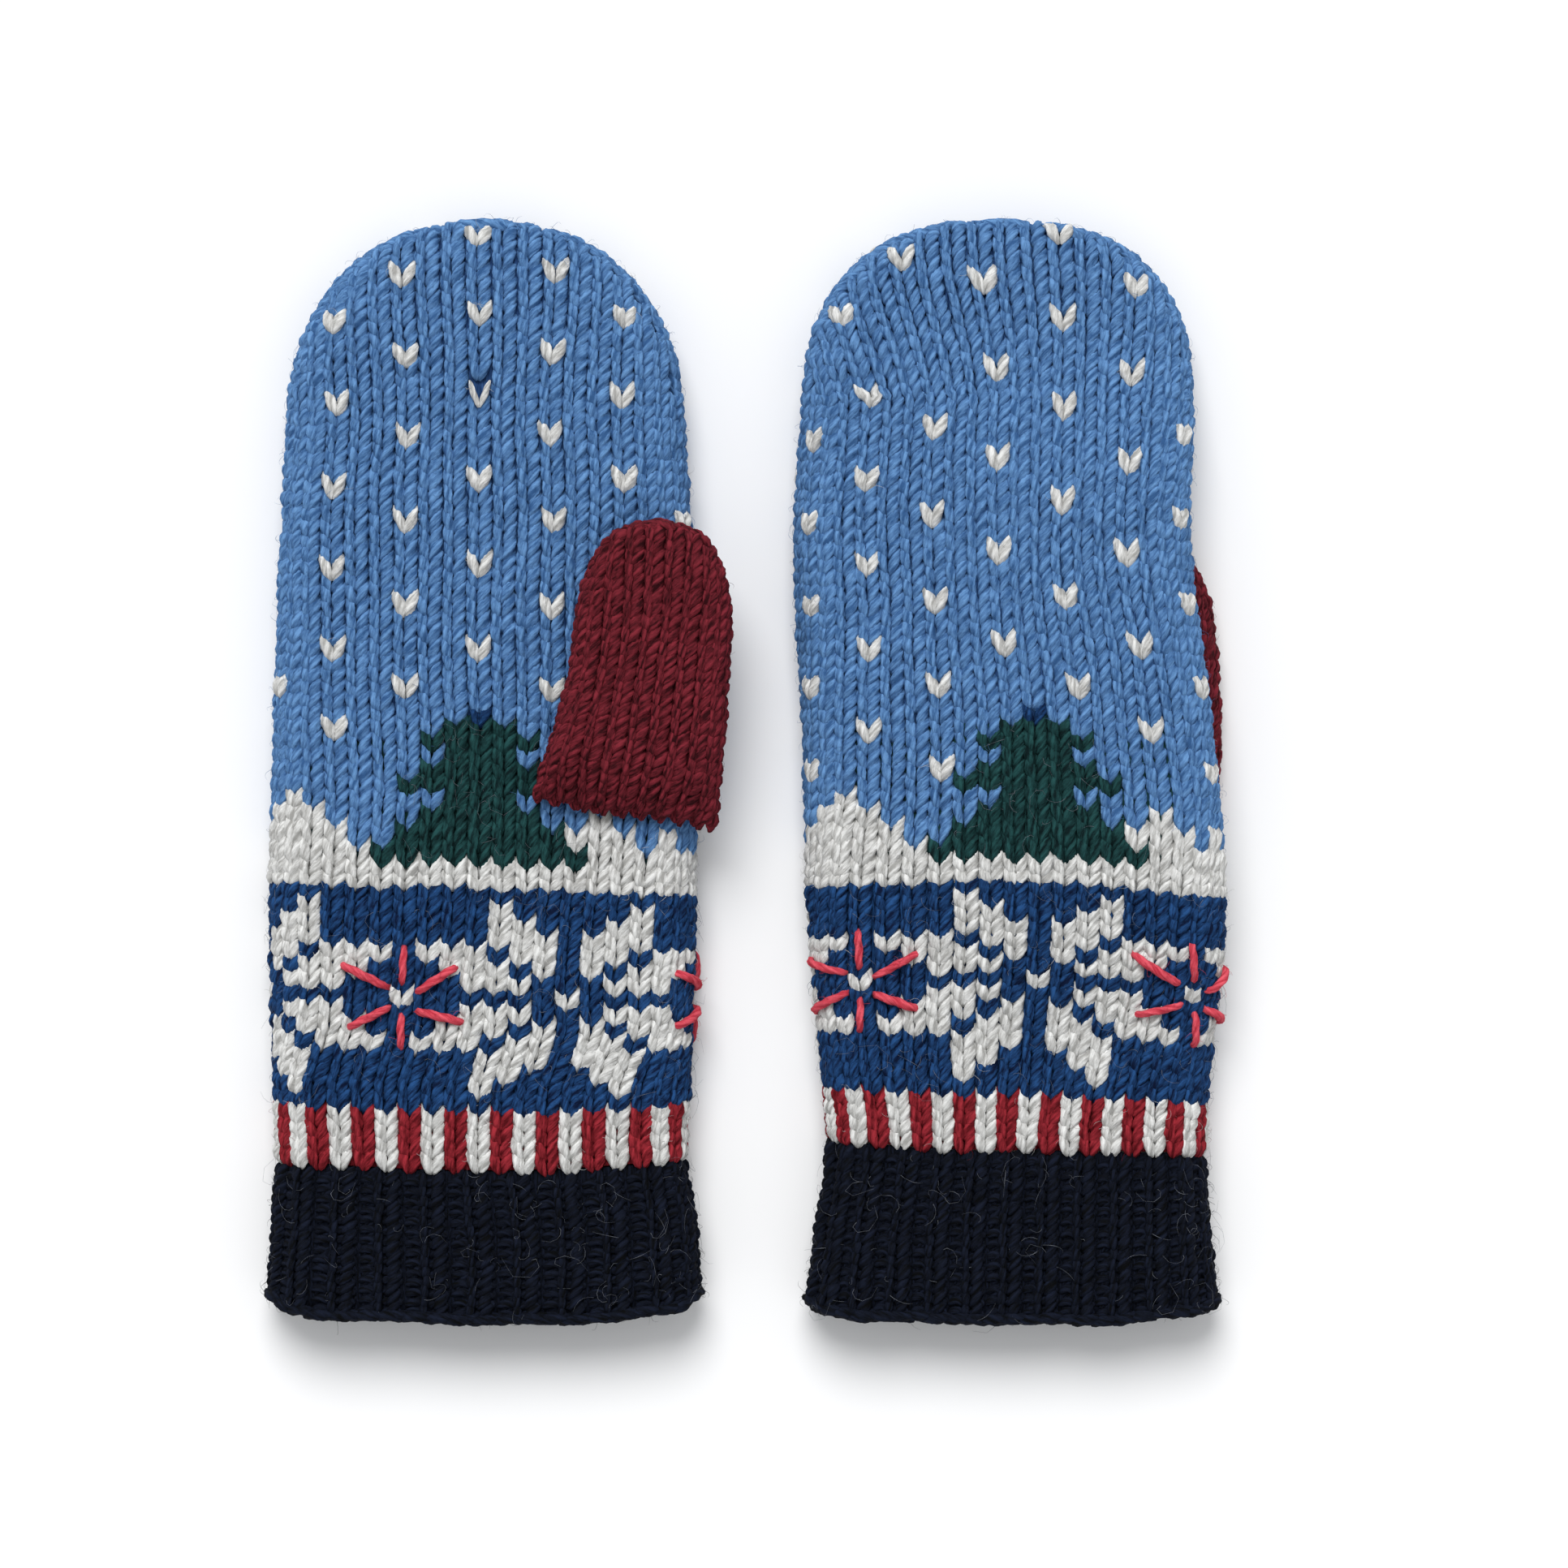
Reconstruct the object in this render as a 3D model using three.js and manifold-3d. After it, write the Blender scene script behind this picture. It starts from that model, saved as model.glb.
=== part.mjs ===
// A pair of knitted mittens lying flat side by side, in millimetres.
// +Y runs from the cuffs to the fingertips, +X to the right, +Z up; the table is z = 0.
// The right-hand mitten lies palm up with its thumb on top. The left-hand one lies palm
// down, draped over its own thumb.
import * as THREE from "three";
import { LoftGeometry } from "three/addons/geometries/LoftGeometry.js";
import { mergeVertices } from "three/addons/utils/BufferGeometryUtils.js";
import Module from "manifold-3d";

const wasm = await Module();
wasm.setup();

// ---- driving dimensions -------------------------------------------------------------

const GAP = 0.3; // air between touching pieces
const LENGTH = 272; // cast-on edge to fingertips
const THICKNESS = 20; // a flattened hand, both layers and the air inside
const KNIT = 3; // the outer fabric
const FLEECE = 1.5; // the lining
// Where the sides begin to round in to the end, and how square the end is.
const RIGHT_TIP = { start: 222, power: 2.2 };
const LEFT_TIP = { start: 228, power: 2.5 };
const SMALLEST = 2; // half width at the very end, so that no ring shrinks to a point
const SIDE_STEPS = 4; // facets around each round side, and across each flat face
const FLAT_STEPS = 5;

// Heights of the colour bands above the cast-on edge.
const CUFF_TOP = 39.8;
const STRIPES_TOP = 55.4;
const STARS_TOP = 108;
const SNOW_TOP = 147.4;
const LINING_START = 42; // the ribbed cuff stays unlined

const THUMB_BASE = 121; // seam line of the thumb above the cast-on edge
const THUMB_LENGTH = 76.4;
const THUMB_THICKNESS = 12;
const THUMB_KNIT = 2.2;
const THUMB_FLEECE = 1;
const THUMB_TIP = { start: 44, power: 2.5 };
const THUMB_HOLE = [5, 17]; // the slit from the hand into the thumb, from the seam line

const DRAPE_SQUEEZE = 0.45; // how much thinner the hand gets where it lies on its thumb
const DRAPE_CLEARANCE = 0.6;

const FLOWER_HEIGHT = 82; // centre of the embroidered flowers above the cast-on edge
const FLOWER_REACH = [15.5, 11]; // half length of the slanted and of the upright threads
const FLOWER_SLANT = THREE.MathUtils.degToRad(24);
const THREAD = [1.9, 1.4]; // width and thickness of one thread
const THREAD_GAP = 0.6; // air under a thread, over the faceted band

// Heights at which every layer of a hand has a ring of its mesh.
const HAND_LEVELS = [
  20, CUFF_TOP, STRIPES_TOP, 68, 76, 84, 97, STARS_TOP, 126, SNOW_TOP, 170, 190,
  203, 211, 219,
];

// Rows of [distance from the lower end, offset of the middle, half width].
const RIGHT_HAND = [
  [0, 0, 54.3],
  [20, 0, 53.3],
  [39, -0.8, 51.5],
  [60, -0.6, 52.3],
  [106, -0.4, 53.2],
  [186, 0.5, 51.7],
  [228, 0.3, 49.4],
  [272, 0.3, 49],
];
const LEFT_HAND = [
  [0, 0, 51.7],
  [20, 0.4, 49.6],
  [39, 1, 47.7],
  [60, 0.8, 48.5],
  [106, 0.7, 52],
  [146, -1.3, 51],
  [190, -5, 49.3],
  [228, -3.6, 48.7],
  [272, -2.5, 47],
];
const RIGHT_THUMB = [
  [0, 35.3, 22.5],
  [40, 41, 20.3],
  [77, 43, 20],
];
const LEFT_THUMB = [
  [0, 29, 22.5],
  [30, 31.5, 21],
  [77, 28.5, 20],
];

const COLOURS = {
  navy: 0x10131f,
  red: 0x96202c,
  royal: 0x1c3f74,
  white: 0xd8d6cf,
  blue: 0x4f7fb4,
  burgundy: 0x641c26,
  coral: 0xd64a58,
  fleece: 0xcfcac0,
};

// ---- shapes of the soft tubes -------------------------------------------------------

/** Value of one column of a table at s, by a curve through its rows. */
function along(table, s, column) {
  const last = table.length - 1;
  let i = 0;
  while (i < last - 1 && s > table[i + 1][0]) i++;
  const slope = (k) => {
    const [a, b] = [table[Math.max(k - 1, 0)], table[Math.min(k + 1, last)]];
    return (b[column] - a[column]) / (b[0] - a[0]);
  };
  const span = table[i + 1][0] - table[i][0];
  const t = THREE.MathUtils.clamp((s - table[i][0]) / span, 0, 1);
  const [t2, t3] = [t * t, t * t * t];
  return (
    (2 * t3 - 3 * t2 + 1) * table[i][column] +
    (t3 - 2 * t2 + t) * span * slope(i) +
    (3 * t2 - 2 * t3) * table[i + 1][column] +
    (t3 - t2) * span * slope(i + 1)
  );
}

/** Share of the full width left at s, where the end rounds in. */
function tipShare(shape, s, inset) {
  const end = shape.length - inset;
  const { start, power } = shape.tip;
  const u = THREE.MathUtils.clamp((s - start) / (end - start), 0, 1);
  return Math.pow(1 - Math.pow(u, power), 1 / power);
}

/** Middle, half width and half thickness of a tube's section at s. */
function section(shape, s, inset) {
  const share = tipShare(shape, s, inset);
  const half = Math.max((along(shape.outline, s, 2) - inset) * share, SMALLEST);
  const round = Math.min((shape.thickness / 2 - inset) * Math.sqrt(share), half / 2);
  return { middle: along(shape.outline, s, 1), half, round };
}

/** A point of the table frame from a tube's own x, s and height above its underside. */
function place(shape, x, s, z) {
  const { from, to, rise, fall, lift } = shape.drape;
  const step = THREE.MathUtils.smoothstep;
  const raised = lift * step(x, from, to) * step(s, ...rise) * (1 - step(s, ...fall));
  const squeeze = 1 - (DRAPE_SQUEEZE * z) / shape.thickness;
  return new THREE.Vector3(shape.x + x, shape.y + s, shape.z + z + raised * squeeze);
}

/** One closed ring of a tube: a flat stadium with round sides. */
function ring(shape, s, inset) {
  const { middle, half, round } = section(shape, s, inset);
  const flat = half - round;
  const points = [];
  for (const side of [-1, 1]) {
    for (let i = 0; i <= SIDE_STEPS; i++) {
      const turn = (Math.PI * i) / SIDE_STEPS;
      points.push([side * (flat + round * Math.sin(turn)), side * round * Math.cos(turn)]);
    }
    for (let i = 1; i < FLAT_STEPS; i++) {
      points.push([-side * flat * ((2 * i) / FLAT_STEPS - 1), -side * round]);
    }
  }
  return points.map(([x, z]) => place(shape, middle + x, s, shape.thickness / 2 + z));
}

/** Distances of the rings between two ends. All layers share the same levels, so that
 * their flat facets stay parallel, and more follow where the tube rounds in. */
function stations(shape, from, to, inset) {
  const between = shape.levels.filter((s) => s > from + 1 && s < Math.min(to, shape.tip.start) - 1);
  if (to <= shape.tip.start) return [from, ...between, to];
  const reach = shape.length - inset - shape.tip.start;
  const turns = [0, 25, 45, 62, 76, 87].map(THREE.MathUtils.degToRad);
  return [from, ...between, ...turns.map((turn) => shape.tip.start + reach * Math.sin(turn))];
}

/** A closed three.js geometry as a manifold-3d solid. */
function solid(geometry) {
  const bare = new THREE.BufferGeometry();
  bare.setAttribute("position", geometry.attributes.position);
  bare.setIndex(geometry.index);
  const merged = mergeVertices(bare, 1e-4);
  const vertProperties = new Float32Array(merged.attributes.position.array);
  const triVerts = new Uint32Array(merged.index.array);
  return new wasm.Manifold(new wasm.Mesh({ numProp: 3, vertProperties, triVerts }));
}

/** The space inside a tube between two distances, at an inset from its outer face. */
function core(shape, from, to, inset) {
  const rings = stations(shape, from, to, inset).map((s) => ring(shape, s, inset));
  return solid(new LoftGeometry(rings, { capStart: true, capEnd: true }));
}

/** An open band of fabric around a tube. */
function band(shape, from, to, inset, wall) {
  const hollow = core(shape, from - 2, to + 2, inset + wall);
  return core(shape, from, to, inset).subtract(hollow);
}

/** A fabric shell with a rounded closed end; its lower end is open when openFrom says so. */
function shell(shape, from, inset, wall, open) {
  const inner = core(shape, open ? from - 2 : from + wall, shape.length, inset + wall);
  return core(shape, from, shape.length, inset).subtract(inner);
}

/** A box between two corners, in the table frame. */
function block(low, high) {
  const size = new THREE.Vector3(...high).sub(new THREE.Vector3(...low));
  const box = new THREE.BoxGeometry(size.x, size.y, size.z);
  const middle = new THREE.Vector3(...low).addScaledVector(size, 0.5);
  return solid(box.translate(middle.x, middle.y, middle.z));
}

/** A mesh of the part from a solid. */
function piece(name, made, colour, roughness = 0.95) {
  const mesh = made.getMesh();
  const geometry = new THREE.BufferGeometry();
  geometry.setAttribute("position", new THREE.BufferAttribute(mesh.vertProperties, 3));
  geometry.setIndex(new THREE.BufferAttribute(mesh.triVerts, 1));
  geometry.computeVertexNormals();
  const material = new THREE.MeshStandardMaterial({ color: colour, roughness, metalness: 0 });
  const node = new THREE.Mesh(geometry, material);
  node.name = name;
  return node;
}

// ---- embroidery ---------------------------------------------------------------------

/** A point on a tube's skin, by the distance around it from the middle of its top. */
function onSkin(shape, around, s, outset) {
  const { middle, half, round } = section(shape, s, 0);
  const flat = half - round;
  const side = Math.sign(around);
  const turn = Math.max(Math.abs(around) - flat, 0) / round;
  const x = turn > 0 ? side * (flat + (round + outset) * Math.sin(turn)) : around;
  return place(shape, middle + x, s, shape.thickness / 2 + (round + outset) * Math.cos(turn));
}

/** A straight thread across a flower's middle, laid on the skin. */
function thread(shape, around, angle, reach) {
  const [width, thickness] = THREAD;
  const bar = new THREE.BoxGeometry(2 * reach, width, thickness, 10, 1, 1);
  bar.rotateZ(angle);
  const position = bar.attributes.position;
  for (let i = 0; i < position.count; i++) {
    const outset = THREAD_GAP + thickness / 2 + position.getZ(i);
    const s = FLOWER_HEIGHT + position.getY(i);
    const p = onSkin(shape, around + position.getX(i), s, outset);
    position.setXYZ(i, p.x, p.y, p.z);
  }
  return solid(bar);
}

/** One flower: an upright thread crossed by two slanted ones, cut off at the table. */
function flower(shape, around) {
  const [slanted, upright] = FLOWER_REACH;
  const table = block([-LENGTH, -LENGTH, -THICKNESS], [LENGTH, LENGTH, GAP]);
  return thread(shape, around, Math.PI / 2, upright)
    .add(thread(shape, around, FLOWER_SLANT, slanted))
    .add(thread(shape, around, -FLOWER_SLANT, slanted))
    .subtract(table);
}

// ---- the two mittens ----------------------------------------------------------------

const FLAT = { from: 0, to: 1, rise: [0, 1], fall: [0, 1], lift: 0 };
const OVER_THUMB = {
  from: -34,
  to: 3,
  rise: [66, 108],
  fall: [200, 246],
  lift: THUMB_THICKNESS + DRAPE_CLEARANCE,
};

const MITTENS = [
  {
    side: "right",
    x: -64.9,
    outline: RIGHT_HAND,
    tip: RIGHT_TIP,
    drape: FLAT,
    thumbOutline: RIGHT_THUMB,
    thumbZ: THICKNESS + GAP,
    hole: { x: [19, 41], z: [THICKNESS - 6, THICKNESS + 5] },
    flowers: { palm: -19.8, edge: 61.8 },
  },
  {
    side: "left",
    x: 65.2,
    outline: LEFT_HAND,
    tip: LEFT_TIP,
    drape: OVER_THUMB,
    thumbOutline: LEFT_THUMB,
    thumbZ: 0,
    hole: { x: [14, 39], z: [THUMB_THICKNESS - 5, THUMB_THICKNESS + 6] },
    flowers: { inner: -37, outer: 42 },
  },
];

function mitten({ side, x, outline, tip, drape, thumbOutline, thumbZ, hole, flowers }) {
  const hand = {
    x, y: 0, z: 0, outline, drape,
    length: LENGTH, thickness: THICKNESS, tip, levels: HAND_LEVELS,
  };
  const thumb = {
    x, y: THUMB_BASE, z: thumbZ, outline: thumbOutline, drape: FLAT,
    length: THUMB_LENGTH, thickness: THUMB_THICKNESS, tip: THUMB_TIP, levels: [22],
  };
  const [holeStart, holeEnd] = THUMB_HOLE.map((s) => THUMB_BASE + s);
  const slit = block([x + hole.x[0], holeStart, hole.z[0]], [x + hole.x[1], holeEnd, hole.z[1]]);
  const ground = (from, to) => band(hand, from, to - GAP, 0, KNIT);
  const lining = shell(hand, LINING_START, KNIT + GAP, FLEECE, true);
  const sock = shell(thumb, 0, 0, THUMB_KNIT, false);
  const thumbLining = shell(thumb, THUMB_KNIT + GAP, THUMB_KNIT + GAP, THUMB_FLEECE, false);

  const group = new THREE.Group();
  group.add(
    piece(side + "_cuff", ground(0, CUFF_TOP), COLOURS.navy),
    piece(side + "_stripe_band", ground(CUFF_TOP, STRIPES_TOP), COLOURS.red),
    piece(side + "_star_band", ground(STRIPES_TOP, STARS_TOP), COLOURS.royal),
    piece(side + "_snow_band", ground(STARS_TOP, SNOW_TOP).subtract(slit), COLOURS.white),
    piece(side + "_hand", shell(hand, SNOW_TOP, 0, KNIT, true), COLOURS.blue),
    piece(side + "_lining", lining.subtract(slit), COLOURS.fleece, 1),
    piece(side + "_thumb", sock.subtract(slit), COLOURS.burgundy),
    piece(side + "_thumb_lining", thumbLining.subtract(slit), COLOURS.fleece, 1),
  );
  for (const [place_, around] of Object.entries(flowers)) {
    group.add(piece(`${side}_flower_${place_}`, flower(hand, around), COLOURS.coral, 0.9));
  }
  return group;
}

const pair = new THREE.Group();
for (const each of MITTENS) pair.add(mitten(each));
const middle = new THREE.Box3().setFromObject(pair).getCenter(new THREE.Vector3());
pair.position.set(-middle.x, -middle.y, 0);

export default pair;
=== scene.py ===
"""A pair of knitted wool mittens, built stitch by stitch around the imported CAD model.

Lengths are millimetres in each mitten's own frame (x across, s up from the cast-on edge,
z up from the table) until a mesh is made, and metres in the row frame after that.
"""

import math

import bpy
import numpy as np
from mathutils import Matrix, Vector


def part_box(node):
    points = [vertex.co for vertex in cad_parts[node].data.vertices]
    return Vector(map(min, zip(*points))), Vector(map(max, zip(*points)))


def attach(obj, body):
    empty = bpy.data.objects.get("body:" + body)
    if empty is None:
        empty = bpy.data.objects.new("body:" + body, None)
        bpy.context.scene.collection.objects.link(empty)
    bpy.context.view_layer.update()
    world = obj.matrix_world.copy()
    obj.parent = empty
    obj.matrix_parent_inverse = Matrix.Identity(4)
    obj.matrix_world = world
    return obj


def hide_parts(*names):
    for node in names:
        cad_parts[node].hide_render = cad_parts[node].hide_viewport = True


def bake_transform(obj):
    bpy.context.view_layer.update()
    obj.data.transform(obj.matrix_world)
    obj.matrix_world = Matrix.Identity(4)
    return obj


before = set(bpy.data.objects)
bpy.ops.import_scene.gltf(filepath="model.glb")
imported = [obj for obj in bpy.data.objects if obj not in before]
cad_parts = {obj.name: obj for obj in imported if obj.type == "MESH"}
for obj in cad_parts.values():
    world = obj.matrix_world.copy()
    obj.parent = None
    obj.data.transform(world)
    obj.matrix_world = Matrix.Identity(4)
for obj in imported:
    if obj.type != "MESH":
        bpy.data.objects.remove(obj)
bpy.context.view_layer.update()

MM = 0.001
rng = np.random.default_rng(7)

# ---- shape of the soft tubes -----------------------------------------------------------
# As in the CAD model, but the base of the right thumb is wider and the linings lie deeper.

LENGTH = 272
THICKNESS = 20
TIP_START = {"right": 222, "left": 228}
TIP_POWER = {"right": 2.2, "left": 2.5}
SMALLEST = 2
KNIT = 3
FLEECE = 1.5
GAP = 0.3
LINING_START = 42
LINING_DEPTH = KNIT + GAP + 0.4  # the yarn bulges inwards between the stitches

THUMB_BASE = 121
THUMB_LENGTH = 76.4
THUMB_THICKNESS = 12
THUMB_TIP_START = 44
THUMB_TIP_POWER = 2.5
THUMB_FLEECE = 1
THUMB_LINING_START = 9  # the lining ends where the thumb gets too thin for it
BASE_RISE = 15  # over this length the thumb swells from its seam to full thickness
BASE_SHARE = 0.3  # share of the thickness left at the seam

DRAPE_SQUEEZE = 0.45
CORNER_RISE = 2.6  # the cast-on edge turns up this much at the folds
BASE_SLANT = 3.4  # the seam of the thumb climbs this much from its middle to its inner side
BASE_SLANT_FADE = 45

# Rows of [distance from the lower end, offset of the middle, half width].
RIGHT_HAND = [
    [0, 0, 54.3],
    [20, 0, 53.3],
    [39, -0.8, 51.5],
    [60, -0.6, 52.3],
    [106, -0.4, 53.2],
    [186, 0.5, 51.7],
    [228, 0.3, 49.4],
    [272, 0.3, 49],
]
LEFT_HAND = [
    [0, 0, 51.7],
    [20, 0.4, 49.6],
    [39, 1, 47.7],
    [60, 0.8, 48.5],
    [106, 0.7, 52],
    [146, -1.3, 51],
    [190, -5, 49.3],
    [228, -3.6, 48.7],
    [272, -2.5, 47],
]
RIGHT_THUMB = [[0, 34.6, 23.4], [40, 41, 20.3], [77, 43, 20]]
LEFT_THUMB = [[0, 29, 22.5], [30, 31.5, 21], [77, 28.5, 20]]

OVER_THUMB = {"from": -34, "to": 3, "rise": (66, 108), "fall": (200, 246), "lift": 12.6}

# Rows of knitting at some heights: cuff, stripes, stars, two white rows, trees, hand.
ROW_COUNTS = [0, 13.22, 16.22, 18.22, 24.22, 32.22, 34.22, 37.22, 43.22, 48.22, 66.22, 80.04]
RIGHT_HEIGHTS = [0, 36.3, 46.8, 54, 76.4, 105.7, 110.9, 125, 146.3, 162.4, 224.6, 272]
LEFT_HEIGHTS = [0, 41.3, 51, 58, 81.3, 107.4, 112.2, 126, 146.4, 163, 224.6, 272]
HAND_PITCH = 3.44
THUMB_PITCH = 3.2
HAND_WALES = 42
THUMB_WALES = 21
THUMB_ROWS = 40  # more than fit; a wale stops where the thumb ends
THUMB_FIRST = 0.75  # row of the thumb's first stitches
HAND_RIM = 1.3  # so many wales on each side run round the rim of the tip
THUMB_RIM = 0.6
SIDE_CLOSER = 0.855  # wales lie this much closer together round the sides
RIM_OVERLAP = 0.75  # how close the other wales come to them, as a share of the rim's width
RIM_STOP = 2.1  # the wales that follow the rim end this far from the middle of the tip
CLOSED = 0.15  # all wales end this far below the very end
LOWER_STEPS = 120  # points along a wale, below and in the tip
TIP_STEPS = 300
TIP_FOLLOW = 5  # how soon the wales near the edge bend with the outline of the tip


def smooth(value, low, high):
    t = np.clip((value - low) / (high - low), 0, 1)
    return t * t * (3 - 2 * t)


def along(table, s, column):
    """Value of one column of a table at s, by a curve through its rows."""
    rows = np.array(table, float)
    knots, values = rows[:, 0], rows[:, column]
    slopes = np.empty(len(knots))
    slopes[1:-1] = (values[2:] - values[:-2]) / (knots[2:] - knots[:-2])
    slopes[0] = (values[1] - values[0]) / (knots[1] - knots[0])
    slopes[-1] = (values[-1] - values[-2]) / (knots[-1] - knots[-2])
    i = np.clip(np.searchsorted(knots, s, side="right") - 1, 0, len(knots) - 2)
    span = knots[i + 1] - knots[i]
    t = np.clip((s - knots[i]) / span, 0, 1)
    t2, t3 = t * t, t * t * t
    return (
        (2 * t3 - 3 * t2 + 1) * values[i]
        + (t3 - 2 * t2 + t) * span * slopes[i]
        + (3 * t2 - 2 * t3) * values[i + 1]
        + (t3 - t2) * span * slopes[i + 1]
    )


def unit(v):
    return v / np.maximum(np.linalg.norm(v, axis=-1, keepdims=True), 1e-12)


class Tube:
    """A flattened tube of knitting with a rounded closed end."""

    def __init__(
        self, place, outline, thickness, length, tip, power, wales, rim,
        drape=None, lean=None, heights=None, stretched=(), fan=(0, 0), bow=(),
        tip_stretch=1,
    ):  # fmt: skip
        self.x, self.y, self.z = place
        self.outline = outline
        self.thickness = thickness
        self.length = length
        self.tip = tip
        self.power = power
        self.wales = wales
        self.rim = rim
        self.drape = drape
        self.lean = lean
        self.heights = heights
        self.stretched = stretched
        self.fan = fan
        self.bow = bow
        self.tip_stretch = tip_stretch
        self.is_thumb = thickness < THICKNESS

    def swell(self, s):
        """Share of the full thickness at s: a thumb grows out of its seam."""
        if not self.is_thumb:
            return np.ones_like(s)
        return BASE_SHARE + (1 - BASE_SHARE) * np.sin(np.clip(s / BASE_RISE, 0, 1) * math.pi / 2)

    def section(self, s, inset=0):
        """Offset of the middle, half width and half thickness at s."""
        u = np.clip((s - self.tip) / (self.length - inset - self.tip), 0, 1)
        share = (1 - u**self.power) ** (1 / self.power)
        half = np.maximum((along(self.outline, s, 2) - inset) * share, SMALLEST)
        deep = np.maximum(self.thickness * self.swell(s) / 2 - inset, 0.4)
        deep = np.clip(deep * np.sqrt(share), 0.05, half / 2)
        return along(self.outline, s, 1), half, deep

    def place(self, x, s, z):
        """A point of the row frame, still in millimetres."""
        raised = 0
        if self.drape:
            d = self.drape
            raised = d["lift"] * smooth(x, d["from"], d["to"]) * smooth(s, *d["rise"])
            raised = raised * (1 - smooth(s, *d["fall"])) * (1 - DRAPE_SQUEEZE * z / THICKNESS)
        if not self.is_thumb:
            heights, at_left, at_right = np.array(self.bow).T
            edge = np.where(x < 0, np.interp(s, heights, at_left), np.interp(s, heights, at_right))
            bow = edge * np.minimum((x / 52) ** 2, 1.1)
            bow = bow + CORNER_RISE * smooth(np.abs(x), 47, 55) * (1 - smooth(s, 0, 11))
        elif self.z > 0:
            share = 1 - (x - self.outline[0][1]) / self.outline[0][2]
            bow = BASE_SLANT * share * (1 - smooth(s, 0, BASE_SLANT_FADE))
        else:
            bow = 0
        return np.stack([self.x + x, self.y + s + bow, self.z + z + raised], -1)

    def skin(self, around, s, inset=0):
        """A point of the surface, by the distance around from the middle of the top."""
        middle, half, deep = self.section(s, inset)
        flat = half - deep
        reach = np.abs(around)
        turn = np.clip((reach - flat) / deep, 0, math.pi)
        beyond = np.maximum(reach - flat - math.pi * deep, 0)
        out = np.where(reach < flat, reach, flat + deep * np.sin(turn) - beyond)
        centre = self.thickness * self.swell(s) / 2
        return self.place(middle + np.sign(around) * out, s, centre + deep * np.cos(turn))

    def skin_and_normal(self, around, s):
        """Points of the surface and the directions that point away from it."""
        step = 0.02
        s = np.minimum(s, self.length - step)
        here = self.skin(around, s)
        across = self.skin(around + step, s) - self.skin(around - step, s)
        up = here - self.skin(around, s - step)
        normal = unit(np.cross(across, up))
        middle = along(self.outline, s, 1)
        inside = self.place(middle, s - 1, self.thickness * self.swell(s) / 2)
        outwards = ((here - inside) * normal).sum(axis=-1, keepdims=True)
        return here, np.where(outwards < 0, -normal, normal)

    def rows_at(self, s, x=0):
        """Row number at s; in the hand some wales are stretched, and their rows lie higher."""
        if self.is_thumb:
            return s / THUMB_PITCH
        rows = np.interp(s, self.heights, ROW_COUNTS)
        for middle, left, right, rise, low, high in self.stretched:
            away = (x - middle) / np.where(x < middle, left, right)
            share = np.cos(np.clip(away, -1, 1) * math.pi / 2) ** 2
            rows = rows - rise * share * smooth(s, low, high) / HAND_PITCH
        return rows

    def height_of(self, row):
        return float(np.interp(row, ROW_COUNTS, self.heights))


def leaning_wale(tube, wale, wales, low):
    """Where a wale lies at each height, counted in wales from the middle of the top."""
    if not tube.lean:
        moved = np.full(len(low), float(wale))
    else:
        heights, leans, gathers, pulls = np.array(tube.lean).T
        moved = wale + np.interp(low, heights, leans)
        gather = np.interp(low, heights, gathers)
        pull = np.interp(low, heights, pulls)
        turn = math.tau * moved / wales
        moved = moved + gather * wales / math.tau * np.sin(turn) - pull * (1 - np.cos(turn))
    return moved - wales * round(moved.mean() / wales)


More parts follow.
